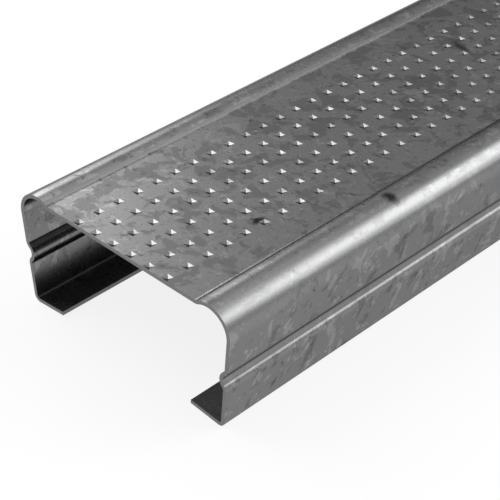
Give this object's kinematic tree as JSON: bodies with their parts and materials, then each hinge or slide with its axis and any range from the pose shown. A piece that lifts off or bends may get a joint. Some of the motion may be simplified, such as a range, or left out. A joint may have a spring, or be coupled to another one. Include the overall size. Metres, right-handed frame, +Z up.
{
  "type": "ceiling furring channel",
  "caption": "Roll-formed galvanised steel channel with a dimpled, recessed screw face, beaded legs and turned-in lips, for screwing ceiling board to.",
  "frame": {"origin": "on the floor, under the middle of the channel", "axes": "+Y along the channel, away from the end that the picture shows; +Z up, out of the screw face; X across"},
  "size_m": [0.035, 2.4, 0.016],
  "materials": {
    "galvanised_steel": "hot-dip galvanised sheet, semi-gloss grey with faint spangle and mottling"
  },
  "bodies": {
    "root": {"furring_channel": "galvanised_steel"}
  },
  "joints": []
}
